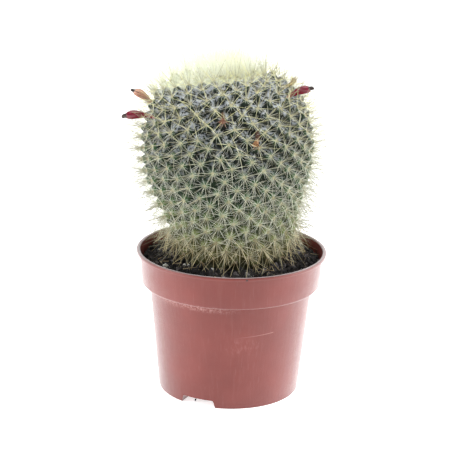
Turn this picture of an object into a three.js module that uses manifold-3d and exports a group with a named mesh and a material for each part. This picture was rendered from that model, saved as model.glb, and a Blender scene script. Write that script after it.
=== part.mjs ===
// Potted round cactus: a club-shaped stem with spiral rows of spiny tubercles, rooted in peat
// in a 12 cm plastic nursery pot. Millimetres, +Z up. The origin is the centre of the pot's
// foot, on the ground, and -Y is the front.
import * as THREE from 'three';
import { mergeVertices } from 'three/addons/utils/BufferGeometryUtils.js';
import { ConvexHull } from 'three/addons/math/ConvexHull.js';
import Module from 'manifold-3d';

const wasm = await Module();
wasm.setup();

// Pot: turned-out rim lip, collar, shoulder under it, tapered wall, flat foot.
const RIM_RADIUS = 60;
const POT_HEIGHT = 91;
const LIP_HEIGHT = 2;
const LIP_WIDTH = 2.2;
const COLLAR_TOP_RADIUS = 57.6;
const COLLAR_FOOT_RADIUS = 56.6;
const COLLAR_FOOT_Z = 69.8;
const BODY_TOP_RADIUS = 51.5;
const FOOT_RADIUS = 44.6;
const WALL = 1.2;
const FLOOR = 1.4;
const EDGE = 0.6; // rounding of the pot's edges
const POT_SEGMENTS = 48;

// Drainage: three channels moulded up into the floor, open through notches in the foot.
const CHANNEL_AZIMUTHS = [-25, 95, 215].map(THREE.MathUtils.degToRad);
const CHANNEL_MOUTH_WIDTH = 23.5;
const CHANNEL_ROOF_WIDTH = 20.5;
const CHANNEL_HEIGHT = 5;
const CHANNEL_INNER_RADIUS = 25;
const CHANNEL_OVERRUN = 3; // how far the cut runs out past the pot's wall
const DRAIN_HOLE_RADIUS = 4;
const DRAIN_HOLE_DISTANCE = 35; // from the pot's axis

// Soil: lies a little below the rim, mounded to the stem, with a crumbly top.
const SOIL_EDGE_Z = 84.7;
const SOIL_STEM_Z = 87.3;
const MOUND_INNER_RADIUS = 36;
const MOUND_OUTER_RADIUS = 55;
const SOIL_CRUMB = 0.75;
const SOIL_RINGS = [52, 48, 44, 41, 38, 34];
const SOIL_SEGMENTS = 40;
const STEM_HOLE_RADIUS = 37;

// Stem: the outline through the tubercles' tips, as radius and height, from the crown down.
const STEM_OUTLINE = [
  [0, 201], [14, 203.5], [27, 203], [38, 198.5], [45.5, 191], [50.5, 180], [53.6, 168],
  [54.2, 155], [52.3, 141], [48, 127], [44, 115], [41, 104], [38, 94], [33, 84], [31, 74],
];
const STEM_LEAN = -4.5; // sideways shift of the upper stem
const LEAN_START_Z = 98;
const LEAN_END_Z = 136;
const STEM_FOOT_Z = 81; // the lowest tubercles stand here, at the soil
const NECK = [[29, 73], [14, 59]]; // rings of the smooth stem below the soil
const NECK_TIP_Z = 50;

// Tubercles: they stand in golden-angle spirals, small at the crown, flattened at the base.
const GOLDEN_ANGLE = Math.PI * (3 - Math.sqrt(5));
const FIRST_AZIMUTH = 0.3;
const GROWN_CELL = 84; // surface area of one tubercle, mm2
const YOUNG_CELL = 32;
const CROWN_REACH = 44; // distance from the crown's centre at which tubercles are full-grown
const GROWN_DEPTH = 5.2;
const YOUNG_DEPTH = 2.4;
const BASE_DEPTH = 2.2;
const BASE_FADE_Z = 108;
const TUBERCLE_SHIFT = 0.5; // how far a tubercle may stand off its place
const AREOLE_RADIUS = 0.8;
const AREOLE_RISE = 0.2;

// Spines: three to a tubercle, at true length.
const SPINE_HEADINGS = [30, 150, 270].map(THREE.MathUtils.degToRad);
const GROWN_SPINE = 11;
const CROWN_SPINE = 14;
const GROWN_SPINE_LEAN = 52; // degrees away from the surface's normal
const CROWN_SPINE_LEAN = 20;
const LEAN_SPREAD = 7;
const HEADING_SPREAD = 0.22;
const SPINE_LENGTH_SPREAD = 0.18;
const DROOP = 0.8; // downward pull on the spines near the soil
const DROOP_START_Z = 118;
const DROOP_END_Z = 92;
const SPINE_CLEARANCE = 1;
const SOIL_CLEARANCE = 1.6; // least height of a spine over the soil
const SOIL_TEST_SHARES = [0.15, 0.4, 0.7, 1]; // of a spine's length
const SPINE_DRAWS = 60; // directions that are tried for a spine
const SLACK_PER_DRAW = 0.12; // wider spread of each later direction
const FULL_LENGTH_DRAWS = 20; // later draws shorten it
const SHORTENING_PER_DRAW = 0.05;
const SHORTEST_SHARE = 0.35;

// Roots: five main ones, from the neck out and down through the soil.
const ROOT_COUNT = 5;
const ROOT_PATH = [[4, 56], [13, 49], [24, 38], [31, 25], [35, 13]]; // distance from axis, height
const ROOT_RADIUS = 2.4;
const ROOT_TIP_RADIUS = 0.8;
const ROOT_WANDER = 0.16; // radians round the pot's axis
const ROOT_STEPS = 6;
const ROOT_SIDES = 6;

const GAP = 0.3; // clearance between pieces that touch
const ROOT_GAP = 0.4;

// Berries and withered flowers: each is rooted between tubercles and lies along foot to tip.
const RIPE = 0x9c1230;
const BERRIES = {
  fruit_left_ripe: { foot: [-47.6, -13, 177.4], tip: [-69, -16, 178.4], radius: 2.9, colour: RIPE },
  fruit_left_drying: { foot: [-49.3, -3, 182.6], tip: [-64.2, -5, 192.8], radius: 2.6, colour: 0xc98f7c },
  fruit_right_ripe: { foot: [29.7, -16.5, 191.4], tip: [47, -22, 200.1], radius: 2.7, colour: RIPE },
};
const WITHERED = 0xa0642f;
const FLOWERS = {
  dried_flower_front: { foot: [-7.4, -43.4, 188.2], tip: [-7, -51.3, 184], radius: 1.5 },
  dried_flower_right: { foot: [12.8, -44.6, 178.1], tip: [13.7, -52.5, 170.5], radius: 1.7 },
  dried_flower_shoulder: { foot: [27.9, -9.5, 195.9], tip: [36.3, -15, 203.9], radius: 1.5 },
};

const smooth = THREE.MathUtils.smoothstep;
const lerp = THREE.MathUtils.lerp;

// A fixed number from 0 to 1 for each pair of whole numbers, for small irregularities.
function chance(index, kind) {
  const wave = Math.sin(index * 12.9898 + kind * 78.233) * 43758.5453;
  return wave - Math.floor(wave);
}

const spread = (index, kind, amount) => (chance(index, kind) * 2 - 1) * amount;

// Keeps positions only, joins equal corners and drops triangles that have no area.
function closedGeometry(geometry) {
  geometry.deleteAttribute('normal');
  geometry.deleteAttribute('uv');
  const merged = mergeVertices(geometry, 1e-4);
  const kept = [];
  const { array } = merged.index;
  for (let i = 0; i < array.length; i += 3) {
    const [a, b, c] = array.slice(i, i + 3);
    if (a !== b && b !== c && c !== a) kept.push(a, b, c);
  }
  merged.setIndex(kept);
  return merged;
}

function toSolid(geometry) {
  return new wasm.Manifold(new wasm.Mesh({
    numProp: 3,
    vertProperties: new Float32Array(geometry.attributes.position.array),
    triVerts: new Uint32Array(geometry.index.array),
  }));
}

function toGeometry(solid) {
  const { vertProperties, triVerts } = solid.getMesh();
  const geometry = new THREE.BufferGeometry();
  geometry.setAttribute('position', new THREE.BufferAttribute(vertProperties, 3));
  geometry.setIndex(new THREE.BufferAttribute(triVerts, 1));
  return geometry;
}

// A turned solid about +Z from [radius, height] points that run from the axis back to the axis.
function turned(points, segments) {
  const outline = points.map(([radius, height]) => new THREE.Vector2(radius, height));
  return closedGeometry(new THREE.LatheGeometry(outline, segments).rotateX(Math.PI / 2));
}

function namedMesh(name, geometry, colour, roughness) {
  geometry.computeVertexNormals();
  const material = new THREE.MeshStandardMaterial({ color: colour, roughness, metalness: 0 });
  const mesh = new THREE.Mesh(geometry, material);
  mesh.name = name;
  return mesh;
}

// Pot: outer outline upwards from the foot's centre.
const potOutside = [
  [0, 0],
  [FOOT_RADIUS - EDGE, 0],
  [FOOT_RADIUS, EDGE],
  [BODY_TOP_RADIUS, COLLAR_FOOT_Z],
  [COLLAR_FOOT_RADIUS - 2 * EDGE, COLLAR_FOOT_Z],
  [COLLAR_FOOT_RADIUS - 0.5 * EDGE, COLLAR_FOOT_Z + 0.5 * EDGE],
  [COLLAR_FOOT_RADIUS, COLLAR_FOOT_Z + 2 * EDGE],
  [COLLAR_TOP_RADIUS, POT_HEIGHT - LIP_HEIGHT],
  [RIM_RADIUS - EDGE, POT_HEIGHT - LIP_HEIGHT],
  [RIM_RADIUS, POT_HEIGHT - LIP_HEIGHT + EDGE],
  [RIM_RADIUS, POT_HEIGHT - EDGE],
  [RIM_RADIUS - EDGE, POT_HEIGHT],
];
const collarInsideFoot = COLLAR_FOOT_RADIUS - WALL;
const potInside = [
  [RIM_RADIUS - LIP_WIDTH, POT_HEIGHT],
  [COLLAR_TOP_RADIUS - WALL, POT_HEIGHT - LIP_HEIGHT - EDGE],
  [collarInsideFoot, COLLAR_FOOT_Z + WALL],
  [BODY_TOP_RADIUS - WALL, COLLAR_FOOT_Z + WALL],
  [FOOT_RADIUS - WALL, FLOOR],
  [0, FLOOR],
];

// A drainage channel, from its inner end out past the pot's wall, grown by the given amount.
function channel(azimuth, grow) {
  const mouth = CHANNEL_MOUTH_WIDTH / 2 + grow;
  const roof = CHANNEL_ROOF_WIDTH / 2 + grow;
  const top = CHANNEL_HEIGHT + grow;
  const section = new THREE.Shape();
  section.moveTo(-mouth, -1);
  section.lineTo(mouth, -1);
  section.lineTo(mouth, 0);
  section.lineTo(roof, top);
  section.lineTo(-roof, top);
  section.lineTo(-mouth, 0);
  section.closePath();
  const depth = FOOT_RADIUS + CHANNEL_OVERRUN - CHANNEL_INNER_RADIUS + grow;
  const geometry = new THREE.ExtrudeGeometry(section, { depth, bevelEnabled: false, steps: 1 });
  geometry.rotateX(Math.PI / 2).translate(0, -CHANNEL_INNER_RADIUS + grow, 0).rotateZ(azimuth);
  return toSolid(closedGeometry(geometry));
}

function drainHole(azimuth) {
  const height = 2 * CHANNEL_HEIGHT;
  const geometry = new THREE.CylinderGeometry(DRAIN_HOLE_RADIUS, DRAIN_HOLE_RADIUS, height, 16);
  geometry.rotateX(Math.PI / 2).translate(0, -DRAIN_HOLE_DISTANCE, CHANNEL_HEIGHT).rotateZ(azimuth);
  return toSolid(closedGeometry(geometry));
}

function makePot() {
  const filled = toSolid(turned([...potOutside, [0, POT_HEIGHT]], POT_SEGMENTS));
  let pot = toSolid(turned([...potOutside, ...potInside], POT_SEGMENTS));
  for (const azimuth of CHANNEL_AZIMUTHS) pot = pot.add(channel(azimuth, WALL).intersect(filled));
  for (const azimuth of CHANNEL_AZIMUTHS) {
    pot = pot.subtract(channel(azimuth, 0)).subtract(drainHole(azimuth));
  }
  return toGeometry(pot);
}

// Stem surface: the outline sampled finely, with running length, running number of tubercles
// and the radius in a plane map of the stem that keeps angles.
const outlineCurve = new THREE.SplineCurve(STEM_OUTLINE.map(([r, z]) => new THREE.Vector2(r, z)));
const OUTLINE_STEPS = 840;

function sampleOutline() {
  const samples = [];
  let length = 0;
  let count = 0;
  let mapLog = 0;
  let last = outlineCurve.getPoint(0);
  for (let step = 1; step <= OUTLINE_STEPS; step += 1) {
    const point = outlineCurve.getPoint(step / OUTLINE_STEPS);
    const stride = point.distanceTo(last);
    const radius = (point.x + last.x) / 2;
    const cell = lerp(YOUNG_CELL, GROWN_CELL, smooth(length, 0, CROWN_REACH));
    count += (2 * Math.PI * radius * stride) / cell;
    mapLog += step === 1 ? Math.log(point.x) : stride / radius;
    length += stride;
    const along = point.clone().sub(last).divideScalar(stride);
    samples.push({ radius: point.x, z: point.y, along, length, count, mapLog });
    last = point;
  }
  return samples;
}

const leanAt = (z) => STEM_LEAN * smooth(z, LEAN_START_Z, LEAN_END_Z);

function tubercleDepth(length, z) {
  const grown = lerp(YOUNG_DEPTH, GROWN_DEPTH, smooth(length, 0, CROWN_REACH));
  return lerp(BASE_DEPTH, grown, smooth(z, STEM_FOOT_Z, BASE_FADE_Z));
}

// Every tubercle: its tip, its frame (out, up towards the crown, right) and its place on a ball.
function placeTubercles() {
  const samples = sampleOutline();
  const middleLog = samples[OUTLINE_STEPS / 2].mapLog;
  const tubercles = [];
  for (const sample of samples) {
    if (sample.count < tubercles.length + 0.5) continue;
    const index = tubercles.length;
    const { along, radius, z, length, mapLog } = sample;
    const shift = spread(index, 1, TUBERCLE_SHIFT) / radius;
    const azimuth = FIRST_AZIMUTH + index * GOLDEN_ANGLE + shift;
    const [sin, cos] = [Math.sin(azimuth), Math.cos(azimuth)];
    const out = new THREE.Vector3(-along.y * sin, along.y * cos, along.x);
    const up = new THREE.Vector3(-along.x * sin, along.x * cos, -along.y);
    const right = new THREE.Vector3(cos, sin, 0);
    const tip = new THREE.Vector3(radius * sin + leanAt(z), -radius * cos, z);
    tip.addScaledVector(out, spread(index, 2, 0.8 * TUBERCLE_SHIFT));
    tip.addScaledVector(up, spread(index, 3, TUBERCLE_SHIFT));
    const mapRadius = Math.exp(mapLog - middleLog);
    const onBall = new THREE.Vector3(2 * mapRadius * sin, -2 * mapRadius * cos, 1 - mapRadius ** 2);
    onBall.divideScalar(1 + mapRadius ** 2);
    tubercles.push({ index, tip, out, up, right, length, z, onBall, valleys: [] });
  }
  return tubercles;
}

// The hull of the points on the ball joins each tubercle to its neighbours. Each of its
// triangles gives the valley point that lies between three tubercles.
function addValleys(tubercles) {
  const owner = new Map(tubercles.map((tubercle) => [tubercle.onBall, tubercle]));
  const hull = new ConvexHull().setFromPoints(tubercles.map((tubercle) => tubercle.onBall));
  for (const face of hull.faces) {
    const corners = [0, 1, 2].map((corner) => owner.get(face.getEdge(corner).head().point));
    const point = new THREE.Vector3();
    const out = new THREE.Vector3();
    for (const { tip, out: normal } of corners) {
      point.addScaledVector(tip, 1 / 3);
      out.addScaledVector(normal, 1 / 3);
    }
    const depth = corners.reduce((sum, { length, z }) => sum + tubercleDepth(length, z) / 3, 0);
    point.addScaledVector(out.normalize(), -depth);
    for (const corner of corners) corner.valleys.push(point);
  }
}

// Collects points and triangles of one closed mesh.
class MeshBuilder {
  points = [];
  numbers = new Map();
  triangles = [];

  number(point) {
    if (!this.numbers.has(point)) {
      this.numbers.set(point, this.points.length);
      this.points.push(point);
    }
    return this.numbers.get(point);
  }

  triangle(a, b, c) {
    this.triangles.push([this.number(a), this.number(b), this.number(c)]);
  }

  // The open edge as a loop of points, in the direction in which the mesh's triangles use it.
  openLoop() {
    const next = new Map();
    const used = new Set(this.triangles.flatMap(([a, b, c]) => [`${a} ${b}`, `${b} ${c}`, `${c} ${a}`]));
    for (const edge of used) {
      const [from, to] = edge.split(' ').map(Number);
      if (!used.has(`${to} ${from}`)) next.set(from, to);
    }
    const [start] = next.keys();
    const loop = [start];
    while (next.get(loop.at(-1)) !== start) loop.push(next.get(loop.at(-1)));
    return loop.map((number) => this.points[number]);
  }

  geometry() {
    const geometry = new THREE.BufferGeometry().setFromPoints(this.points);
    geometry.setIndex(this.triangles.flat());
    return geometry;
  }
}

// Joins two rings of points round a tubercle, each given as angle and point in rising order.
function joinRings(builder, inner, outer) {
  const turn = 2 * Math.PI;
  const unwrap = (angle) => angle - turn * Math.round((angle - inner[0].angle) / turn);
  const gaps = outer.map(({ angle }) => Math.abs(unwrap(angle) - inner[0].angle));
  const first = gaps.indexOf(Math.min(...gaps));
  const outerAt = (step) => outer[(first + step) % outer.length];
  const base = unwrap(outerAt(0).angle);
  const outerAngle = (step) => {
    const rise = outerAt(step).angle - outerAt(0).angle;
    return base + (step === outer.length ? turn : (rise + turn) % turn);
  };
  const innerAt = (step) => inner[step % inner.length];
  const innerAngle = (step) => innerAt(step).angle + (step >= inner.length ? turn : 0);
  let i = 0;
  let o = 0;
  while (i < inner.length || o < outer.length) {
    const outerNext = o < outer.length ? outerAngle(o + 1) : Infinity;
    const innerNext = i < inner.length ? innerAngle(i + 1) : Infinity;
    if (outerNext <= innerNext) {
      builder.triangle(innerAt(i).point, outerAt(o).point, outerAt(o + 1).point);
      o += 1;
    } else {
      builder.triangle(innerAt(i).point, outerAt(o).point, innerAt(i + 1).point);
      i += 1;
    }
  }
}

// Soil height under a point: mounded to the stem, with crumbs.
function soilHeight(x, y) {
  const distance = Math.hypot(x, y);
  const fall = smooth(distance, MOUND_INNER_RADIUS, MOUND_OUTER_RADIUS);
  const mound = lerp(SOIL_STEM_Z, SOIL_EDGE_Z, fall);
  const crumbs = Math.sin(x * 0.83 + 1.7 * Math.sin(y * 0.41)) * Math.cos(y * 0.77 - x * 0.29);
  const lumps = Math.sin(x * 0.21 - y * 0.34) * Math.cos(x * 0.17 + y * 0.23 + 1);
  return mound + SOIL_CRUMB * (crumbs + lumps);
}

// Shortest distance between two straight pieces of line, each with a start and an end.
function segmentDistance(first, second) {
  const u = first.end.clone().sub(first.start);
  const v = second.end.clone().sub(second.start);
  const w = first.start.clone().sub(second.start);
  const [a, b, c, d, e] = [u.dot(u), u.dot(v), v.dot(v), u.dot(w), v.dot(w)];
  const clamp = (value) => THREE.MathUtils.clamp(value, 0, 1);
  const parallel = a * c - b * b;
  let s = parallel > 1e-9 ? clamp((b * e - c * d) / parallel) : 0;
  const t = clamp((b * s + e) / c);
  s = clamp((b * t - d) / a);
  return w.addScaledVector(u, s).addScaledVector(v, -t).length();
}

// Keeps the spines clear of each other, of the soil and of the berries and flowers.
class SpinePlacer {
  spines = [];

  constructor(obstacles) {
    this.obstacles = obstacles;
  }

  isClear(spine) {
    for (const share of SOIL_TEST_SHARES) {
      const { x, y, z } = spine.start.clone().lerp(spine.end, share);
      if (z < soilHeight(x, y) + SOIL_CLEARANCE) return false;
    }
    for (const { start, end, radius } of this.obstacles) {
      if (segmentDistance(spine, { start, end }) < radius + SPINE_CLEARANCE) return false;
    }
    const reach = 2 * CROWN_SPINE;
    return this.spines.every((other) => (
      other.owner === spine.owner
      || Math.abs(other.start.x - spine.start.x) > reach
      || Math.abs(other.start.y - spine.start.y) > reach
      || Math.abs(other.start.z - spine.start.z) > reach
      || segmentDistance(spine, other) > SPINE_CLEARANCE
    ));
  }

  // Draws directions round the heading until the spine is clear, and shortens it if need be.
  place(tubercle, heading, key) {
    const { tip, out, up, right, length, z, index } = tubercle;
    const grown = smooth(length, 0, CROWN_REACH * 0.8);
    const droop = DROOP * smooth(-z, -DROOP_START_Z, -DROOP_END_Z);
    for (let attempt = 0; ; attempt += 1) {
      const draw = key * 1000 + attempt * 7;
      const slack = 1 + attempt * SLACK_PER_DRAW;
      const lean = THREE.MathUtils.degToRad(
        lerp(CROWN_SPINE_LEAN, GROWN_SPINE_LEAN, grown) + spread(index, draw, LEAN_SPREAD * slack),
      );
      const turn = heading + spread(index, draw + 1, HEADING_SPREAD * slack);
      const share = 1 + spread(index, draw + 2, SPINE_LENGTH_SPREAD);
      const direction = out.clone().multiplyScalar(Math.cos(lean));
      direction.addScaledVector(right, Math.sin(lean) * Math.cos(turn));
      direction.addScaledVector(up, Math.sin(lean) * Math.sin(turn));
      direction.z -= droop;
      direction.normalize();
      const late = Math.max(0, attempt - FULL_LENGTH_DRAWS);
      const kept = Math.max(SHORTEST_SHARE, 1 - late * SHORTENING_PER_DRAW);
      const reach = lerp(CROWN_SPINE, GROWN_SPINE, grown) * share * kept;
      const end = tip.clone().addScaledVector(direction, reach);
      const spine = { owner: tubercle, start: tip, end };
      if (this.isClear(spine) || attempt > SPINE_DRAWS) {
        this.spines.push(spine);
        return end;
      }
    }
  }
}

// One tubercle: its sides fall from the areole to the valleys, and its spines stand on the areole.
function addTubercle(builder, tubercle, placer) {
  const { tip, out, up, right, valleys } = tubercle;
  const outer = valleys.map((point) => {
    const offset = point.clone().sub(tip);
    return { angle: Math.atan2(offset.dot(up), offset.dot(right)), point };
  });
  outer.sort((first, second) => first.angle - second.angle);
  const step = (2 * Math.PI) / SPINE_HEADINGS.length;
  const inner = SPINE_HEADINGS.map((heading) => {
    const angle = heading - step / 2;
    const point = tip.clone().addScaledVector(out, -AREOLE_RISE);
    point.addScaledVector(right, AREOLE_RADIUS * Math.cos(angle));
    point.addScaledVector(up, AREOLE_RADIUS * Math.sin(angle));
    return { angle, point };
  });
  joinRings(builder, inner, outer);
  const buried = tip.z < SOIL_STEM_Z + 2 * SOIL_CLEARANCE;
  SPINE_HEADINGS.forEach((heading, key) => {
    const from = inner[key].point;
    const to = inner[(key + 1) % inner.length].point;
    if (buried) {
      builder.triangle(from, to, tip);
      return;
    }
    const end = placer.place(tubercle, heading, key);
    builder.triangle(from, to, end);
    builder.triangle(to, tip, end);
    builder.triangle(tip, from, end);
  });
}

// The smooth stem below the soil closes the lowest row of tubercles down to the neck's tip.
function addNeck(builder) {
  let ring = builder.openLoop();
  for (const [radius, z] of NECK) {
    const lower = ring.map((point) => {
      const scale = radius / Math.hypot(point.x, point.y);
      return new THREE.Vector3(point.x * scale, point.y * scale, z);
    });
    ring.forEach((point, i) => {
      const j = (i + 1) % ring.length;
      builder.triangle(ring[j], point, lower[i]);
      builder.triangle(ring[j], lower[i], lower[j]);
    });
    ring = lower;
  }
  const tip = new THREE.Vector3(0, 0, NECK_TIP_Z);
  ring.forEach((point, i) => builder.triangle(ring[(i + 1) % ring.length], point, tip));
}

// A root that tapers along its path to a point, grown by the given amount.
function root(number, grow) {
  const azimuth = (number * 2 * Math.PI) / ROOT_COUNT + spread(number, 4, 0.2);
  const path = new THREE.CatmullRomCurve3(ROOT_PATH.map(([distance, z], i) => {
    const turn = azimuth + spread(number * 7 + i, 5, ROOT_WANDER);
    return new THREE.Vector3(distance * Math.sin(turn), -distance * Math.cos(turn), z);
  }));
  const frames = path.computeFrenetFrames(ROOT_STEPS);
  const builder = new MeshBuilder();
  let last = null;
  const head = path.getPointAt(0);
  const tailLength = ROOT_TIP_RADIUS * 2 + grow;
  const tail = path.getPointAt(1).addScaledVector(frames.tangents[ROOT_STEPS], tailLength);
  for (let step = 0; step <= ROOT_STEPS; step += 1) {
    const centre = path.getPointAt(step / ROOT_STEPS);
    const radius = lerp(ROOT_RADIUS, ROOT_TIP_RADIUS, step / ROOT_STEPS) + grow;
    const ring = Array.from({ length: ROOT_SIDES }, (_, side) => {
      const angle = (side * 2 * Math.PI) / ROOT_SIDES;
      const point = centre.clone().addScaledVector(frames.normals[step], radius * Math.cos(angle));
      return point.addScaledVector(frames.binormals[step], radius * Math.sin(angle));
    });
    ring.forEach((point, i) => {
      const j = (i + 1) % ROOT_SIDES;
      if (last) {
        builder.triangle(last[i], last[j], ring[j]);
        builder.triangle(last[i], ring[j], point);
      } else {
        builder.triangle(head, ring[j], point);
      }
      if (step === ROOT_STEPS) builder.triangle(tail, point, ring[j]);
    });
    last = ring;
  }
  return toSolid(builder.geometry());
}

// A turned shape laid along foot to tip. The outline holds shares of the length and radius.
function laidAlong({ foot, tip, radius }, outline, segments, grow) {
  const start = new THREE.Vector3(...foot);
  const axis = new THREE.Vector3(...tip).sub(start);
  const length = axis.length();
  const points = outline.map(([width, along]) => (
    [width * radius + (width > 0 ? grow : 0), along * length]
  ));
  points[0][1] -= grow;
  points.at(-1)[1] += grow;
  const upright = new THREE.Vector3(0, 0, 1);
  const turn = new THREE.Quaternion().setFromUnitVectors(upright, axis.normalize());
  const geometry = turned(points, segments).applyQuaternion(turn);
  return toSolid(geometry.translate(start.x, start.y, start.z));
}

// A berry swells towards its tip, which keeps the shrivelled flower as a short dark tail.
const BERRY_OUTLINE = [
  [0, 0], [0.36, 0.03], [0.46, 0.2], [0.7, 0.42], [0.95, 0.6], [1, 0.7], [0.78, 0.82], [0.38, 0.88],
  [0.42, 0.94], [0.26, 0.99], [0, 1],
];
// A withered flower is a pinched tube with a ragged, slightly wider mouth.
const FLOWER_OUTLINE = [
  [0, 0], [0.4, 0.03], [0.5, 0.25], [0.75, 0.45], [0.55, 0.62], [0.95, 0.82], [0.6, 0.97], [0, 1],
];
const berry = (spec, grow) => laidAlong(spec, BERRY_OUTLINE, 9, grow);
const flower = (spec, grow) => laidAlong(spec, FLOWER_OUTLINE, 7, grow);

function makeCactus() {
  const tubercles = placeTubercles();
  addValleys(tubercles);
  const berries = Object.values(BERRIES);
  const flowers = Object.values(FLOWERS);
  const obstacles = [...berries, ...flowers].map(({ foot, tip, radius }) => (
    { start: new THREE.Vector3(...foot), end: new THREE.Vector3(...tip), radius }
  ));
  const placer = new SpinePlacer(obstacles);
  const builder = new MeshBuilder();
  for (const tubercle of tubercles) {
    if (tubercle.z > STEM_FOOT_Z) addTubercle(builder, tubercle, placer);
  }
  addNeck(builder);
  let cactus = toSolid(builder.geometry());
  for (let number = 0; number < ROOT_COUNT; number += 1) cactus = cactus.add(root(number, 0));
  for (const spec of berries) cactus = cactus.subtract(berry(spec, GAP));
  for (const spec of flowers) cactus = cactus.subtract(flower(spec, GAP));
  const pieces = cactus.decompose().sort((first, second) => second.volume() - first.volume());
  return toGeometry(pieces[0]);
}

function makeSoil() {
  const inside = collarInsideFoot - GAP;
  const ledge = COLLAR_FOOT_Z + WALL + GAP;
  const widening = (COLLAR_TOP_RADIUS - COLLAR_FOOT_RADIUS) / (POT_HEIGHT - COLLAR_FOOT_Z);
  const edge = inside + widening * (SOIL_EDGE_Z - ledge);
  const geometry = turned([
    [0, FLOOR + GAP],
    [FOOT_RADIUS - WALL - GAP, FLOOR + GAP],
    [BODY_TOP_RADIUS - WALL - GAP, ledge],
    [inside, ledge],
    ...[edge, ...SOIL_RINGS, 0].map((radius) => [radius, SOIL_EDGE_Z]),
  ], SOIL_SEGMENTS);
  const { position } = geometry.attributes;
  for (let i = 0; i < position.count; i += 1) {
    if (position.getZ(i) > SOIL_EDGE_Z - GAP) {
      position.setZ(i, soilHeight(position.getX(i), position.getY(i)));
    }
  }
  let soil = toSolid(geometry);
  for (const azimuth of CHANNEL_AZIMUTHS) soil = soil.subtract(channel(azimuth, WALL + GAP));
  const aboveSoil = SOIL_STEM_Z + 5;
  const stemHole = [
    [0, NECK_TIP_Z - 1],
    [NECK[1][0] + 2 * GAP, NECK[1][1] - GAP],
    [NECK[0][0] + 2 * GAP, NECK[0][1] - GAP],
    [STEM_HOLE_RADIUS, STEM_FOOT_Z - 2],
    [STEM_HOLE_RADIUS, aboveSoil],
    [0, aboveSoil],
  ];
  soil = soil.subtract(toSolid(turned(stemHole, POT_SEGMENTS)));
  for (let number = 0; number < ROOT_COUNT; number += 1) soil = soil.subtract(root(number, ROOT_GAP));
  return toGeometry(soil);
}

const pottedCactus = new THREE.Group();
pottedCactus.add(namedMesh('pot', makePot(), 0xb2665c, 0.45));
pottedCactus.add(namedMesh('soil', makeSoil(), 0x2b241f, 1));
pottedCactus.add(namedMesh('cactus', makeCactus(), 0x56734f, 0.7));
for (const [name, spec] of Object.entries(BERRIES)) {
  pottedCactus.add(namedMesh(name, toGeometry(berry(spec, 0)), spec.colour, 0.35));
}
for (const [name, spec] of Object.entries(FLOWERS)) {
  pottedCactus.add(namedMesh(name, toGeometry(flower(spec, 0)), WITHERED, 0.9));
}

export default pottedCactus;
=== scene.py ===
"""Looks of the potted round cactus: pot, soil, stem, spines, berries, withered flowers, studio.
Metres in the part's own frame: +Z up, -Y the photographed front, the pot's foot on z = 0.
Sizes are in millimetres, multiplied by MM where they enter the scene, and the studio's in metres.
Colours are screen values from 0 to 255."""
import random
from math import atan2, cos, dist, hypot, pi, radians, sin, sqrt

import bpy
from mathutils import Matrix, Quaternion, Vector, noise
from mathutils.kdtree import KDTree


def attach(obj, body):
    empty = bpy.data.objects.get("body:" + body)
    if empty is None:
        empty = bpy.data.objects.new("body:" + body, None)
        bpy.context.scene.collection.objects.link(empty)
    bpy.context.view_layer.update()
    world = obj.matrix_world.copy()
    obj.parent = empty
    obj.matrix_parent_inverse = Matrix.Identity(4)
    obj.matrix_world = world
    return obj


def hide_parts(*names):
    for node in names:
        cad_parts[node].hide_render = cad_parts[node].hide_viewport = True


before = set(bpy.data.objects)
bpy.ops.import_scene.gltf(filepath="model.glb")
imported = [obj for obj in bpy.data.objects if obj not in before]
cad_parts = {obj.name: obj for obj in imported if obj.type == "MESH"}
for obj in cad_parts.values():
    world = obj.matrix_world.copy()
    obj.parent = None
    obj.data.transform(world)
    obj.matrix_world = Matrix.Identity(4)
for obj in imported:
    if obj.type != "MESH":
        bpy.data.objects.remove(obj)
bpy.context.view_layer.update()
MM = 0.001


# Pot: a thin tapered nursery pot with a wider collar, a turned-out lip and three drainage
# channels under its foot. Injection-moulded polypropylene in one piece, terracotta pink, with a
# matt bloom, fine flow streaks, lime marks under the collar and a few scratches.
WALL, FLOOR_TOP = 1.2, 1.4
POT_OUTSIDE = [
    (44, 0), (44.3, 0.1), (44.52, 0.32), (44.6, 0.6), (46.6, 20), (48.55, 40), (50.5, 60),
    (51.42, 69.2), (51.52, 69.6), (51.85, 69.8), (55.5, 69.8), (56.05, 69.9), (56.42, 70.25),
    (56.6, 70.9), (57.1, 80), (57.55, 88.2), (57.65, 88.7), (58, 89), (59.3, 89), (59.8, 89.05),
    (60, 89.5), (60, 90.45), (59.85, 90.85), (59.45, 91), (58.4, 91), (58, 90.85), (57.75, 90.4),
]
POT_INSIDE = [
    (57.35, 89.4), (56.75, 88), (56.3, 86), (55.95, 80), (55.5, 71.4), (55.25, 71), (50.6, 71),
    (50.2, 70.6), (47.3, 40), (43.5, 1.9), (43, FLOOR_TOP), (3, FLOOR_TOP),
]
CHANNEL_AZIMUTHS = (-25, 95, 215)
CHANNEL_WIDTH, ROOF_WIDTH, ROOF_HEIGHT = 23.8, 20.5, 5
CHANNEL_INNER_END, PAST_THE_WALL = 25, 48
DRAIN_RADIUS, DRAIN_FROM_MIDDLE = 4, 35
POT_SEGMENTS = 144


def mode(name):
    bpy.ops.object.mode_set(mode=name)


def deselect():
    """Leaves edit mode and selects nothing."""
    if bpy.context.object and bpy.context.object.mode != "OBJECT":
        mode("OBJECT")
    bpy.ops.object.select_all(action="DESELECT")


def named(name):
    """The piece that was just made, with this name and its place in its mesh."""
    piece = bpy.context.object
    piece.name = piece.data.name = name
    bpy.ops.object.transform_apply(location=True, rotation=False, scale=False)
    return piece


def pick(piece, *others):
    """Selects only these pieces, and makes the first one active."""
    deselect()
    for chosen in (piece, *others):
        chosen.select_set(True)
    bpy.context.view_layer.objects.active = piece


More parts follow.
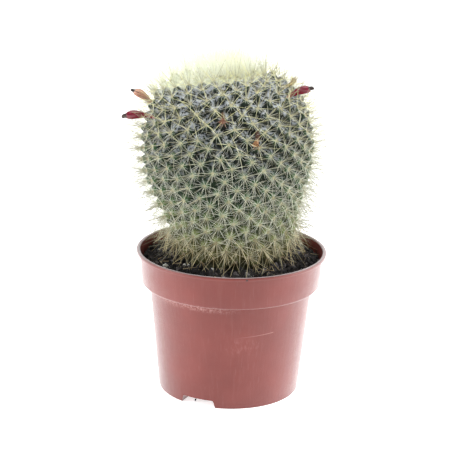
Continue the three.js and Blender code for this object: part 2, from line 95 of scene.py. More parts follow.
def turned(name, outline, segments):
    """A closed turned piece: a filled disc that is extruded ring by ring along (radius, height)."""
    deselect()
    radius, height = outline[0]
    bpy.ops.mesh.primitive_circle_add(
        vertices=segments, radius=radius * MM, fill_type="NGON", location=(0, 0, height * MM)
    )
    piece = named(name)
    mode("EDIT")
    for (radius, height), (wider, higher) in zip(outline, outline[1:]):
        rise = (0, 0, (higher - height) * MM)
        bpy.ops.mesh.extrude_region_move(TRANSFORM_OT_translate={"value": rise})
        grow = wider / radius
        bpy.ops.transform.resize(value=(grow, grow, 1), center_override=(0, 0, higher * MM))
    bpy.ops.mesh.select_all(action="SELECT")
    bpy.ops.mesh.normals_make_consistent(inside=False)
    mode("OBJECT")
    return piece


def apply_modifier(piece, kind, **settings):
    """Adds a modifier with these settings and applies it."""
    pick(piece)
    modifier = piece.modifiers.new(kind, kind)
    for key, value in settings.items():
        setattr(modifier, key, value)
    bpy.ops.object.modifier_apply(modifier=modifier.name)


def combine(piece, other, operation, keep=False):
    """Joins, cuts or trims a piece with another solid, which is then dropped."""
    apply_modifier(piece, "BOOLEAN", object=other, operation=operation, solver="EXACT")
    if not keep:
        bpy.data.objects.remove(other)


def smooth_edges(piece, degrees):
    """Smooth shading, except across edges that turn by more than this angle."""
    pick(piece)
    bpy.ops.object.shade_smooth_by_angle(angle=radians(degrees))


def channel(azimuth, grow):
    """A drainage channel's prism, from its inner end out past the wall, with a narrower roof."""
    deselect()
    bottom, top = -1, ROOF_HEIGHT + grow
    inner, outer = CHANNEL_INNER_END - grow, PAST_THE_WALL
    width, roof = CHANNEL_WIDTH + 2 * grow, ROOF_WIDTH + 2 * grow
    bpy.ops.mesh.primitive_cube_add(size=MM)
    prism = bpy.context.object
    mode("EDIT")
    bpy.ops.transform.resize(value=(width, outer - inner, top - bottom))
    middle = (0, -(inner + outer) / 2 * MM, (top + bottom) / 2 * MM)
    bpy.ops.transform.translate(value=middle)
    mode("OBJECT")
    for vertex in prism.data.vertices:
        vertex.select = vertex.co.z > 0
    for edge in prism.data.edges:
        edge.select = all(prism.data.vertices[i].select for i in edge.vertices)
    for face in prism.data.polygons:
        face.select = face.normal.z > 0.9
    mode("EDIT")
    bpy.ops.transform.resize(value=(roof / width, 1, 1), center_override=(0, 0, top * MM))
    bpy.ops.mesh.bevel(offset=0.8 * MM, segments=3)
    mode("OBJECT")
    prism.data.transform(Matrix.Rotation(radians(azimuth), 4, "Z"))
    return prism


# Each channel's raised roof is joined to the shell, and the channel and its drain hole are cut out.
pot = turned("pot_shell", POT_OUTSIDE + POT_INSIDE, POT_SEGMENTS)
pot_filled = turned("pot_filled", POT_OUTSIDE[:8] + [(50, 72), (3, 72)], POT_SEGMENTS)
for azimuth in CHANNEL_AZIMUTHS:
    raised = channel(azimuth, WALL)
    combine(raised, pot_filled, "INTERSECT", keep=True)
    combine(pot, raised, "UNION")
for azimuth in CHANNEL_AZIMUTHS:
    combine(pot, channel(azimuth, 0), "DIFFERENCE")
    deselect()
    bpy.ops.mesh.primitive_cylinder_add(vertices=24, radius=DRAIN_RADIUS * MM, depth=10 * MM)
    drain = bpy.context.object
    drain.data.transform(Matrix.Translation((0, -DRAIN_FROM_MIDDLE * MM, 5 * MM)))
    drain.data.transform(Matrix.Rotation(radians(azimuth), 4, "Z"))
    combine(pot, drain, "DIFFERENCE")
bpy.data.objects.remove(pot_filled)
smooth_edges(pot, 32)


def linear(colour):
    """The shader's linear colour for a screen colour."""
    shares = [value / 255 for value in colour]
    return [s / 12.92 if s <= 0.04045 else ((s + 0.055) / 1.055) ** 2.4 for s in shares] + [1]


class Pattern:
    """A tree of shader nodes, built node by node on object coordinates in millimetres."""

    def __init__(self, tree):
        self.tree, self.nodes, self.links = tree, tree.nodes, tree.links
        metres = self.add("TexCoord", "Object", {})
        self.position = self.vector("MULTIPLY", metres, (1 / MM, 1 / MM, 1 / MM))

    def put(self, value, socket):
        """Links an output to a socket, or sets the socket's own value."""
        if isinstance(value, bpy.types.NodeSocket):
            self.links.new(value, socket)
        else:
            socket.default_value = linear(value) if socket.type == "RGBA" else value

    def add(self, kind, output, inputs, **settings):
        """Adds a node with its inputs, by name or number, and its settings, and gives one output."""
        made = self.nodes.new("ShaderNode" + kind)
        for name, value in settings.items():
            setattr(made, name, value)
        for name, value in inputs.items():
            self.put(value, made.inputs[name])
        return made.outputs[output]

    def vector(self, operation, *values):
        output = "Value" if operation == "LENGTH" else "Vector"
        return self.add("VectorMath", output, dict(enumerate(values)), operation=operation)

    def math(self, operation, *values):
        return self.add("Math", "Value", dict(enumerate(values)), operation=operation)

    def times(self, value, *others):
        """The product of its values."""
        for other in others:
            value = self.math("MULTIPLY", value, other)
        return value

    def axis(self, letter):
        """One coordinate of the place."""
        return self.add("SeparateXYZ", letter, {"Vector": self.position})

    def stretched(self, x, y, z):
        return self.vector("MULTIPLY", self.position, (x, y, z))

    def noise(self, scale, detail=4, roughness=0.6, vector=None):
        inputs = {"Scale": scale, "Detail": detail, "Roughness": roughness}
        return self.add("TexNoise", "Fac", {"Vector": vector or self.position, **inputs})

    def cells(self, scale):
        """The distance from the nearest of points strewn by chance."""
        return self.add("TexVoronoi", "Distance", {"Vector": self.position, "Scale": scale})

    def attribute(self, name):
        return self.add("Attribute", "Fac", {}, attribute_name=name)

    def between(self, value, low, high, start=0, end=1):
        """Turns low..high into start..end, smoothly and clamped."""
        inputs = {"Value": value, "From Min": low, "From Max": high, "To Min": start, "To Max": end}
        return self.add("MapRange", "Result", inputs, interpolation_type="SMOOTHSTEP")

    def ramp(self, value, *stops):
        """A colour ramp with stops of (place, colour)."""
        ramped = self.add("ValToRGB", "Color", {"Fac": value})
        elements = ramped.node.color_ramp.elements
        while len(elements) < len(stops):
            elements.new(0.5)
        for element, (place, colour) in zip(elements, stops):
            element.position, element.color = place, linear(colour)
        return ramped

    def blend(self, share, first, second):
        """The first colour, with this share of the second. Inputs 6 and 7 and output 2 take colours."""
        return self.add("Mix", 2, {"Factor": share, 6: first, 7: second}, data_type="RGBA")

    def use(self, effect, **values):
        """Places a shared effect with its own values, and gives its outputs."""
        return self.add("Group", 0, values, node_tree=effect.tree).node.outputs


class Effect(Pattern):
    """A node group with named inputs and outputs, for an effect that several materials share."""

    def __init__(self, name, inputs, outputs):
        super().__init__(bpy.data.node_groups.new(name, "ShaderNodeTree"))
        for side, sockets in (("INPUT", inputs), ("OUTPUT", outputs)):
            for label, kind in sockets.items():
                self.tree.interface.new_socket(label, in_out=side, socket_type="NodeSocket" + kind)
        self.given = self.nodes.new("NodeGroupInput").outputs
        self.result = self.nodes.new("NodeGroupOutput").inputs


class Surface(Pattern):
    """A procedural material round one Principled shader."""

    def __init__(self, name):
        self.material = bpy.data.materials.new(name)
        self.material.use_nodes = True
        super().__init__(self.material.node_tree)
        self.shader = self.nodes["Principled BSDF"]

    def finish(self, bump=None, depth=0.1, **settings):
        """Sets the shader's sockets by name, and its bump from a height and a depth in mm."""
        for name, value in settings.items():
            self.put(value, self.shader.inputs[name.replace("_", " ")])
        if bump:
            normal = self.add("Bump", "Normal", {"Distance": depth * MM, "Height": bump})
            self.put(normal, self.shader.inputs["Normal"])


def dress(piece, surface, slot, *replaced):
    """Gives a finished piece its material and its place in the frame. The slot is not used."""
    piece.data.materials.clear()
    piece.data.materials.append(surface.material)
    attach(piece, "root")
    if replaced:
        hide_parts(*replaced)


# Mottle lays patches of a second colour over the first, where a noise is high, and gives the noise
# as a height. The lining, soil and what lies on it, skin, wool, old spines, berries and flowers use it.
mottle = Effect(
    "mottle",
    {"Colour": "Color", "Patch": "Color", "Scale": "Float", "Low": "Float", "High": "Float",
     "Amount": "Float"},
    {"Colour": "Color", "Height": "Float"},
)
clouds = mottle.noise(mottle.given["Scale"], 5, 0.65)
share = mottle.times(
    mottle.between(clouds, mottle.given["Low"], mottle.given["High"]), mottle.given["Amount"]
)
mottle.put(mottle.blend(share, mottle.given["Colour"], mottle.given["Patch"]), mottle.result["Colour"])
mottle.put(clouds, mottle.result["Height"])

plastic = Surface("terracotta_plastic")
across, depth_in, height = (plastic.axis(letter) for letter in "XYZ")
streaks = plastic.noise(0.55, 5, vector=plastic.stretched(1, 1, 0.06))
patches = plastic.noise(0.035, 3, 0.5)
body = plastic.ramp(patches, (0.3, (105, 36, 28)), (0.5, (111, 40, 32)), (0.72, (119, 46, 38)))
body = plastic.blend(plastic.between(streaks, 0.5, 0.72, 0, 0.05), body, (160, 112, 106))
# Marks: lime under the collar, a rising scratch, a scuff, hair-fine lines and a nick in the lip.
LIME_HEIGHT, SCRATCH_HEIGHT = 67.9, 48.6
SCUFF_PLACE, NICK_PLACE = (9, -47, 43), (9.8, -59.6, 89.8)
front = plastic.between(depth_in, -20, -30)
under_collar = plastic.math("ABSOLUTE", plastic.math("SUBTRACT", height, LIME_HEIGHT))
lime = plastic.times(
    plastic.between(under_collar, 4, 0.5), front, plastic.between(across, 2, -12, 0.3, 1),
    plastic.between(across, 8, 2), plastic.between(plastic.noise(0.8, 6, 0.75), 0.42, 0.66), 0.48,
)
body = plastic.blend(lime, body, (200, 158, 152))
rise = plastic.math("MULTIPLY_ADD", across, -0.08, height)
scratch = plastic.math("ABSOLUTE", plastic.math("SUBTRACT", rise, SCRATCH_HEIGHT))
scratch = plastic.times(
    plastic.between(scratch, 0.4, 0.1), front, plastic.between(across, -1, 26),
    plastic.between(across, 27.6, 26.6), 0.34,
)
scuff = plastic.vector("SUBTRACT", plastic.position, SCUFF_PLACE)
scuff = plastic.vector("LENGTH", plastic.vector("MULTIPLY", scuff, (0.6, 0.6, 1)))
scuff = plastic.between(scuff, 10, 2)
rubbed = plastic.noise(0.6, 5, 0.7, vector=plastic.stretched(1, 1, 0.35))
scuff = plastic.times(scuff, plastic.between(rubbed, 0.46, 0.72, 0, 0.16))
hairs = plastic.noise(0.9, 2, 0.5, vector=plastic.stretched(1, 1, 0.025))
hairs = plastic.between(hairs, 0.66, 0.7, 0, 0.05)
marks = plastic.math("MAXIMUM", plastic.math("MAXIMUM", scratch, hairs), scuff)
body = plastic.blend(marks, body, (184, 138, 131))
nick = plastic.vector("SUBTRACT", plastic.position, NICK_PLACE)
nick = plastic.between(plastic.vector("LENGTH", nick), 1.0, 0.6)
body = plastic.blend(nick, body, (52, 28, 26))
# The lip's flat top is painted darker, as painted shade against the light from above, and dust makes the
# whole pot rougher in places.
radius_at = plastic.vector("LENGTH", plastic.stretched(1, 1, 0))
dust = plastic.noise(0.25, 5)
lip = plastic.times(plastic.between(radius_at, 57.2, 57.8), plastic.between(height, 90.3, 90.8), 0.6)
body = plastic.blend(lip, body, (92, 34, 30))
grain = plastic.math("ADD", plastic.noise(2.2, 3), plastic.times(streaks, 0.8))
plastic.finish(
    bump=grain, depth=0.07, Base_Color=body, Roughness=plastic.between(dust, 0.3, 0.7, 0.36, 0.52),
    Subsurface_Weight=0.06, Subsurface_Radius=(0.004, 0.0015, 0.001), Specular_IOR_Level=0.35,
    Coat_Weight=0.2, Coat_Roughness=0.3, Sheen_Weight=1, Sheen_Roughness=0.4,
    Sheen_Tint=(255, 253.9, 255),
)
dress(pot, plastic, "pot_plastic", "pot")

# The inside of the collar keeps its full red, with dark smears of peat above the soil.
lining = Surface("terracotta_inside")
red = lining.ramp(lining.noise(0.08, 3), (0.35, (98, 33, 26)), (0.65, (130, 52, 42)))
low = lining.between(lining.axis("Z"), 89, 84.5, 0.05, 0.7)
smears = lining.use(mottle, Colour=red, Patch=(34, 22, 19), Scale=0.3, Low=0.45, High=0.6, Amount=low)
lining.finish(
    bump=smears["Height"], depth=0.15, Base_Color=smears["Colour"], Roughness=0.6,
    Specular_IOR_Level=0.2,
)
pot.data.materials.append(lining.material)
INSIDE_SHELF, LIP_ROUNDING = 71, 90
for face in pot.data.polygons:
    outwards = face.center.to_2d().normalized().dot(face.normal.to_2d())
    if INSIDE_SHELF * MM < face.center.z < LIP_ROUNDING * MM and outwards < -0.5:
        face.material_index = 1


# Soil: moist peat potting mix, mounded to the stem and lower at the wall, with a crumbly top.
# It fills the pot, and the stem's foot stands in its middle.
SOIL_EDGE, SOIL_STEM = 84.7, 87.3
FALL_STARTS, FALL_ENDS, WALL_INSIDE = 36, 55, 55.8


def smoothstep(value, low, high):
    share = min(1, max(0, (value - low) / (high - low)))
    return share * share * (3 - 2 * share)


def soil_height(x, y):
    """Height of the firm soil under a place, in mm."""
    fall = smoothstep(hypot(x, y), FALL_STARTS, FALL_ENDS)
    crumbs = sin(x * 0.83 + 1.7 * sin(y * 0.41)) * cos(y * 0.77 - x * 0.29)
    lumps = sin(x * 0.21 - y * 0.34) * cos(x * 0.17 + y * 0.23 + 1)
    return SOIL_STEM + (SOIL_EDGE - SOIL_STEM) * fall + 0.75 * (crumbs + lumps)


top_rings = [(31 + 0.5 * ring, SOIL_EDGE) for ring in range(49)] + [(WALL_INSIDE, SOIL_EDGE)]
soil_outline = [(2, 50), (15.5, 58), (30, 73), (30.6, 79), *top_rings]
soil_outline += [(55.1, 71.3), (50, 71.3), (43.8, 7), (3, 6.5)]
soil = turned("potting_soil", soil_outline, 320)
# The fine rings on top get a rough crumb and round clods, which fade out at the wall.
for vertex in soil.data.vertices:
    x, y, z = vertex.co / MM
    if z > SOIL_EDGE - 0.01:
        rough = noise.fractal(Vector((x, y, 4)) * 0.42, 0.9, 2.1, 5)
        clods = 1 - min(1, noise.voronoi(Vector((x, y, 0)) * 0.36)[0][0] * 1.3)
        edge = 1 - 0.75 * smoothstep(hypot(x, y), 54.5, WALL_INSIDE)
        vertex.co.z = (soil_height(x, y) + (1.15 * rough + 1.5 * clods - 0.7) * edge) * MM
smooth_edges(soil, 50)

peat = Surface("moist_peat")
specks = peat.noise(1.7, 5, 0.75)
ground = peat.ramp(specks, (0.34, (9, 9, 9)), (0.5, (36, 34, 34)), (0.66, (94, 86, 84)))
clumps = peat.use(mottle, Colour=ground, Patch=(48, 42, 42), Scale=0.35, Low=0.42, High=0.66, Amount=0.7)
fleck = peat.times(
    peat.between(peat.cells(0.75), 0.16, 0.1), peat.between(peat.noise(0.6, 2), 0.5, 0.56), 0.7
)
ground = peat.blend(fleck, clumps["Colour"], (132, 124, 122))
crumble = peat.math("ADD", specks, peat.times(peat.noise(5, 4, 0.7), 0.4))
peat.finish(
    bump=crumble, depth=1.1, Base_Color=ground,
    Roughness=peat.between(clumps["Height"], 0.4, 0.6, 0.72, 0.95), Specular_IOR_Level=0.35,
)
dress(soil, peat, "peat", "soil")


# Crumbs: loose lumps of peat and bark that broke up as the mix was filled in. They lie on the soil
# between the stem and the pot's wall, and one is caught in the front drainage channel.
CRUMB_COUNT = 1200
SMALLEST_CRUMB, LARGEST_CRUMB = 0.45, 1.6
CHANNEL_CRUMB = (-20.2, -34, 1.3)
STEM_SIDE, WALL_SIDE = 35.5, 54.6


def lump(name, subdivisions, rough, seed, kept=1):
    """One irregular grain of unit radius, with this share of its faces kept."""
    deselect()
    bpy.ops.mesh.primitive_ico_sphere_add(subdivisions=subdivisions, radius=1)
    grain = named(name)
    for vertex in grain.data.vertices:
        push = noise.noise(vertex.co * 1.3 + Vector((seed * 7.3, 0, seed)))
        facet = noise.noise(vertex.co * 2.9 + Vector((0, seed * 3.1, 0)))
        vertex.co *= 1 + rough * (push + 0.6 * facet)
    if kept < 1:
        apply_modifier(grain, "DECIMATE", ratio=kept)
    return grain


def store(mesh, name, values):
    """Keeps a number on every point of a mesh, for its material to read."""
    mesh.attributes.new(name, "FLOAT", "POINT").data.foreach_set("value", values)


def scatter(name, models, places):
    """Copies the models to the places, each with its own mesh, and joins them to one piece.
    A place is (model number, matrix, tone), and the tone is kept on every point."""
    copies = []
    for number, matrix, tone in places:
        mesh = models[number % len(models)].data.copy()
        mesh.transform(matrix)
        store(mesh, "tone", [tone] * len(mesh.vertices))
        copies.append(bpy.data.objects.new(name, mesh))
        bpy.context.collection.objects.link(copies[-1])
    pick(*copies)
    bpy.ops.object.join()
    piece = named(name)
    for model in models:
        bpy.data.objects.remove(model)
    return piece


def turned_place(draw, x, y, z, size):
    """A matrix that puts a unit model at a place in mm, turned by chance."""
    turn = Quaternion([draw.gauss(0, 1) for _ in range(4)]).normalized().to_matrix().to_4x4()
    stretch = Matrix.Diagonal((draw.uniform(0.7, 1.2), draw.uniform(0.7, 1.2), draw.uniform(0.5, 1), 1))
    return Matrix.Translation(Vector((x, y, z)) * MM) @ turn @ stretch @ Matrix.Scale(size * MM, 4)


def on_soil(draw, inner=STEM_SIDE):
    """A place on the soil's ring: x, y and the firm height there, in mm."""
    distance = sqrt(draw.uniform(inner**2, WALL_SIDE**2))
    angle = draw.uniform(0, 2 * pi)
    x, y = distance * sin(angle), -distance * cos(angle)
    return x, y, soil_height(x, y)


draw = random.Random(11)
places = [(0, turned_place(draw, *CHANNEL_CRUMB, 0.9), 0.4)]
for number in range(CRUMB_COUNT):
    x, y, z = on_soil(draw)
    size = SMALLEST_CRUMB + (LARGEST_CRUMB - SMALLEST_CRUMB) * draw.random() ** 3
    place = turned_place(draw, x, y, z + 0.35 + 0.3 * size, size)
    places.append((number, place, draw.random()))
models = [lump(f"crumb_{i}", 2, 0.55, i, kept=0.55) for i in range(4)]
crumbs = scatter("soil_crumbs", models, places)
smooth_edges(crumbs, 25)
bark = Surface("peat_crumb")
chip = bark.ramp(
    bark.attribute("tone"), (0, (6, 6, 7)), (0.45, (30, 30, 32)), (0.78, (78, 75, 77)), (1, (140, 134, 132))
)
chip = bark.use(mottle, Colour=chip, Patch=(8, 8, 9), Scale=2.2, Low=0.42, High=0.62, Amount=1)
bark.finish(bump=chip["Height"], depth=0.3, Base_Color=chip["Colour"], Roughness=0.9)
dress(crumbs, bark, "peat")


# Perlite: white expanded volcanic glass grains in the potting mix, light and porous.
# Four grains lie in front on the left, as in the photo, and twelve small ones behind the stem.
FRONT_GRAINS = [(-40.3, -26.5, 1.6), (-28.7, -26.5, 1.0), (-11.3, -36, 0.8), (-26.2, -29.5, 0.7)]
BACK_GRAINS = 12
draw = random.Random(5)
places = []
for number in range(len(FRONT_GRAINS) + BACK_GRAINS):
    if number < len(FRONT_GRAINS):
        x, y, size = FRONT_GRAINS[number]
    else:
        x, y, _ = on_soil(draw, 38)
        y = abs(y)
        size = draw.uniform(0.4, 0.8)
    place = turned_place(draw, x, y, soil_height(x, y) + 0.75, size)
    places.append((number, place, draw.random()))
perlite = scatter("perlite", [lump(f"grain_{i}", 3, 0.4, i + 9) for i in range(3)], places)
smooth_edges(perlite, 40)
glass = Surface("perlite_grain")
pores = glass.cells(2.2)
white = glass.ramp(pores, (0, (150, 146, 136)), (0.3, (226, 224, 216)))
white = glass.use(mottle, Colour=white, Patch=(150, 132, 112), Scale=0.9, Low=0.5, High=0.7, Amount=0.7)
glass.finish(bump=pores, depth=0.3, Base_Color=white["Colour"], Roughness=0.85, Subsurface_Weight=0.1)
dress(perlite, glass, "peat")


# Fibres and fallen spines: thin peat fibres, brown, and dry spines that dropped on the soil,
# straw-coloured. They lie loose, bent and crossed, between the stem and the wall.
LITTER_COUNT, FALLEN_SPINES = 100, 26
LITTER_REACH = 55


def bristle(name, sides, base, tip, bend, rings=2):
    """One tapered bristle of unit length along +Z, bent towards +X. Widths are in mm.
    It keeps the share along its length on every point."""
    deselect()
    bpy.ops.mesh.primitive_cone_add(
        vertices=sides, radius1=base, radius2=tip, depth=1, location=(0, 0, 0.5), end_fill_type="NGON"
    )
    piece = named(name)
    mode("EDIT")
    for ring in range(1, rings):
        bpy.ops.mesh.select_all(action="SELECT")
        bpy.ops.mesh.bisect(plane_co=(0, 0, ring / rings), plane_no=(0, 0, 1))
    mode("OBJECT")
    along = [vertex.co.z for vertex in piece.data.vertices]
    for vertex, share in zip(piece.data.vertices, along):
        vertex.co.x += bend * share * share
    store(piece.data, "along", along)
    return piece


def bristle_matrix(start, direction, length, roll):
    """Puts a unit bristle at a start in mm, along a direction, at its length, its widths kept."""
    turn = Vector(direction).to_track_quat("Z", "Y").to_matrix().to_4x4()
    size = Matrix.Diagonal((MM, MM, length * MM, 1))
    return Matrix.Translation(Vector(start) * MM) @ turn @ Matrix.Rotation(roll, 4, "Z") @ size


draw = random.Random(23)
places = []
for number in range(LITTER_COUNT):
    x, y, z = on_soil(draw, 36)
    heading = draw.uniform(0, 2 * pi)
    fallen = number < FALLEN_SPINES
    length = draw.uniform(5, 10) if fallen else draw.uniform(2, 6)
    middle = Vector((x, y, z + draw.uniform(0.9, 1.7)))
    direction = Vector((cos(heading), sin(heading), draw.uniform(-0.12, 0.12)))
    start = middle - direction.normalized() * length / 2
    end = middle + direction.normalized() * length / 2
    if max(hypot(start.x, start.y), hypot(end.x, end.y)) > LITTER_REACH:
        continue
    place = bristle_matrix(start, direction, length, draw.uniform(0, 6))
    tone = draw.uniform(0.7, 1) if fallen else draw.uniform(0, 0.5)
    places.append((number, place, tone))
models = [
    bristle(f"litter_{bend}", sides=4, base=0.2, tip=0.08, bend=bend, rings=3) for bend in (-1.2, 0.4, 1.6)
]
litter = scatter("fibres_and_fallen_spines", models, places)
smooth_edges(litter, 60)
dry = Surface("dry_fibre")
fibre = dry.ramp(
    dry.attribute("tone"), (0.1, (60, 44, 34)), (0.5, (110, 84, 60)),
    (0.7, (170, 146, 108)), (1, (205, 190, 155)),
)
fibre = dry.use(mottle, Colour=fibre, Patch=(70, 56, 46), Scale=1.2, Low=0.5, High=0.7, Amount=0.5)
dry.finish(Base_Color=fibre["Colour"], Roughness=0.7)
dress(litter, dry, "peat")


# Stem: the round, club-shaped body with its spiral rows of tubercles. Firm green flesh under a waxy skin,
# with painted shade in its valleys, darker and with painted bluish reflections near the crown, brown and
# corky at the foot with painted shade towards the soil. It grew as one piece.
STEM_OUTLINE = [
    (0, 201), (14, 203.5), (27, 203), (38, 198.5), (45.5, 191), (50.5, 180), (53.6, 168),
    (54.2, 155), (52.3, 141), (48, 127), (44, 115), (41, 104), (38, 94), (33, 84), (31, 74),
]
OUTLINE_STEPS = 840
GOLDEN_ANGLE = pi * (3 - sqrt(5))
CORE_STEPS = 60
CROWN_REACH = 44
CELL_AT_CROWN, CELL_BELOW = 32, 84
LOWEST_TUBERCLE, SHALLOW_TO, DEEP_FROM = 77, 81, 108


def lerp(first, second, share):
    """A value this share of the way from the first to the second."""
    return first + (second - first) * share


def outline_point(share):
    """The stem's outline as a smooth curve through its points: radius and height in mm."""
    place = share * (len(STEM_OUTLINE) - 1)
    whole = min(int(place), len(STEM_OUTLINE) - 2)
    t = place - whole
    picks = [min(max(whole + k, 0), len(STEM_OUTLINE) - 1) for k in (-1, 0, 1, 2)]
    found = []
    for k in (0, 1):
        a, b, c, d = (STEM_OUTLINE[pick][k] for pick in picks)
        v, w = (c - a) / 2, (d - b) / 2
        found.append((2 * b - 2 * c + v + w) * t**3 + (3 * c - 3 * b - 2 * v - w) * t**2 + v * t + b)
    return found


def spread(index, kind, amount):
    """A fixed small irregularity for each pair of whole numbers."""
    wave = sin(index * 12.9898 + kind * 78.233) * 43758.5453
    return (2 * (wave % 1) - 1) * amount


def lean_at(z):
    """How far the stem's axis stands to the left at a height, in mm."""
    return -4.5 * smoothstep(z, 98, 136)


class Tubercle:
    """A tubercle's tip and its frame: out of the surface, up towards the crown, and right."""

    def __init__(self, index, radius, z, slope, length):
        azimuth = 0.3 + index * GOLDEN_ANGLE + spread(index, 1, 0.5) / radius
        right, back = cos(azimuth), sin(azimuth)
        along, fall = slope
        self.index, self.z = index, z
        self.out = Vector((-fall * back, fall * right, along))
        self.up = Vector((-along * back, along * right, -fall))
        self.right = Vector((right, back, 0))
        self.tip = Vector((radius * back + lean_at(z), -radius * right, z))
        self.tip += self.out * spread(index, 2, 0.4) + self.up * spread(index, 3, 0.5)
        self.grown = smoothstep(length, 0, CROWN_REACH)
        self.cell = lerp(CELL_AT_CROWN, CELL_BELOW, self.grown)
        self.depth = lerp(2.2, lerp(3, 6.4, self.grown), smoothstep(z, SHALLOW_TO, DEEP_FROM))

    def matrix(self, lift=0, roll=0, size=1):
        """From a unit model with +Z out of the surface and +Y up to this tubercle, in metres."""
        frame_turn = Matrix((self.right, self.up, self.out)).transposed().to_4x4()
        place = Matrix.Translation((self.tip + self.out * lift) * MM)
        return place @ frame_turn @ Matrix.Rotation(roll, 4, "Z") @ Matrix.Scale(size * MM, 4)


BRUSH_CENTRE, BRUSH_INNER, BRUSH_OUTER = Vector((-18, 13, 204)), 33, 40


def in_brush(place):
    """1 inside the crown's brush of young needles, 0 outside it, for a place in mm."""
    return 1 - smoothstep((place - BRUSH_CENTRE).length, BRUSH_INNER, BRUSH_OUTER)


# Tubercles are set down the outline from the crown, each a golden angle on from the last, where
# the surface passed since then is enough for one more. A cell is that surface in square mm.
tubercles = []
length = count = 0
last = outline_point(0)
for step in range(1, OUTLINE_STEPS + 1):
    point = outline_point(step / OUTLINE_STEPS)
    stride = dist(point, last)
    cell = lerp(CELL_AT_CROWN, CELL_BELOW, smoothstep(length, 0, CROWN_REACH))
    count += 2 * pi * (point[0] + last[0]) / 2 * stride / cell
    length += stride
    if count >= len(tubercles) + 0.5:
        slope = ((point[0] - last[0]) / stride, (point[1] - last[1]) / stride)
        tubercles.append(Tubercle(len(tubercles), point[0], point[1], slope, length))
    last = point
tubercles = [t for t in tubercles if t.z > LOWEST_TUBERCLE]

# The core through the valleys is turned, and one modelled tubercle is copied to every place.
core_outline = [(2, 50.3), (15, 59), (28.6, 73), (28.8, 75)]
for step in range(CORE_STEPS, 0, -1):
    radius, z = outline_point(step / CORE_STEPS)
    if z > LOWEST_TUBERCLE:
        inset = lerp(2.2, 5.8, smoothstep(z, SHALLOW_TO, DEEP_FROM))
        ahead = outline_point((step - 1) / CORE_STEPS)
        run = dist((radius, z), ahead)
        radius_in = radius - inset * (ahead[1] - z) / run
        z_in = z + inset * (ahead[0] - radius) / run
        on_crown = step < CORE_STEPS / 3
        if radius_in > 1 and (z_in > core_outline[-1][1] or on_crown):
            core_outline.append((radius_in, z_in))
stem = turned("cactus_stem", core_outline, 128)
for vertex in stem.data.vertices:
    vertex.co.x += lean_at(vertex.co.z / MM) * MM

deselect()
bpy.ops.mesh.primitive_cone_add(vertices=12, radius1=1, radius2=0.3, depth=1, location=(0, 0, -0.5))
cone = named("tubercle")
apply_modifier(cone, "BEVEL", width=0.2, segments=3, limit_method="ANGLE", angle_limit=radians(40))
bumps = []
for tubercle in tubercles:
    foot = 0.66 * sqrt(tubercle.cell)
    size = Matrix.Diagonal((foot, foot * 0.94, tubercle.depth + 1.2, 1))
    bumps.append((0, tubercle.matrix() @ size, 0))
pick(stem, scatter("tubercles", [cone], bumps))
bpy.ops.object.join()
apply_modifier(stem, "REMESH", mode="VOXEL", voxel_size=1.0 * MM, adaptivity=0)
apply_modifier(stem, "SMOOTH", factor=0.5, iterations=3)
# Every point of the skin keeps how far it lies from its tubercle's tip, as a share of the cell's
# radius, how far it faces up, and how far it lies in the crown's brush.
areoles = KDTree(len(tubercles))
for number, tubercle in enumerate(tubercles):
    areoles.insert(tubercle.tip, number)
areoles.balance()
reach = []
for vertex in stem.data.vertices:
    _, number, distance = areoles.find(vertex.co / MM)
    reach.append(distance / (0.62 * sqrt(tubercles[number].cell)))
upward = [smoothstep(vertex.normal.z, 0.05, 0.75) for vertex in stem.data.vertices]
young = [in_brush(vertex.co / MM) for vertex in stem.data.vertices]
for name, values in (("reach", reach), ("upward", upward), ("young", young)):
    store(stem.data, name, values)
for face in stem.data.polygons:
    face.use_smooth = True

skin = Surface("cactus_skin")
away = skin.attribute("reach")
height = skin.axis("Z")
fine = skin.noise(1.6, 4)
# Green flesh near each tubercle's tip, darkening to near black in the valleys between tubercles: painted
# shade.
flesh = skin.ramp(
    away, (0.08, (96, 112, 72)), (0.28, (62, 90, 56)), (0.52, (23, 36, 25)), (0.72, (5, 7, 7))
)
patches = skin.use(mottle, Colour=flesh, Patch=(40, 64, 44), Scale=0.22, Low=0.4, High=0.65, Amount=0.4)
flesh = patches["Colour"]
# Painted bluish-white reflections of the light from above where the skin faces up, darker skin towards the
# crown, olive flesh lower down, cork at the foot with painted shade towards the soil, and pale felt in the
# brush.
painted_reflection = skin.times(
    skin.attribute("upward"), skin.between(away, 0.15, 0.5), skin.between(height, 135, 195, 0.05, 0.72),
    skin.between(skin.noise(0.42, 3), 0.47, 0.56, 0.02, 1),
)
flesh = skin.blend(skin.between(height, 155, 190, 0, 0.65), flesh, (18, 24, 21))
flesh = skin.blend(painted_reflection, flesh, (196, 204, 214))
olive = skin.blend(skin.between(height, 140, 104), (82, 110, 74), (138, 148, 86))
low = skin.times(skin.between(height, 172, 118), skin.between(away, 0.95, 0.3, 0.12, 0.72))
flesh = skin.blend(low, flesh, olive)
# Brown cork at the foot, darkening to near black towards the soil: cork, and painted shade under the
# bulging stem and its spines.
foot_patches = skin.times(skin.between(height, 110, 97), skin.between(fine, 0.3, 0.6, 0.6, 0.97))
cork_and_painted_shade = skin.blend(skin.between(height, 99, 88), (72, 67, 34), (24, 21, 14))
flesh = skin.blend(foot_patches, flesh, cork_and_painted_shade)
dots = skin.between(skin.cells(1.9), 0.22, 0.1, 0, 0.15)
flesh = skin.blend(dots, flesh, (96, 112, 76))
flesh = skin.blend(skin.times(skin.attribute("young"), 0.9), flesh, (214, 218, 194))
skin.finish(
    bump=fine, depth=0.15, Base_Color=flesh,
    Roughness=skin.between(patches["Height"], 0.3, 0.7, 0.4, 0.58),
    Subsurface_Weight=0.05, Subsurface_Radius=(0.001, 0.002, 0.001), Specular_IOR_Level=0.18,
)
dress(stem, skin, "cactus_skin", "cactus")


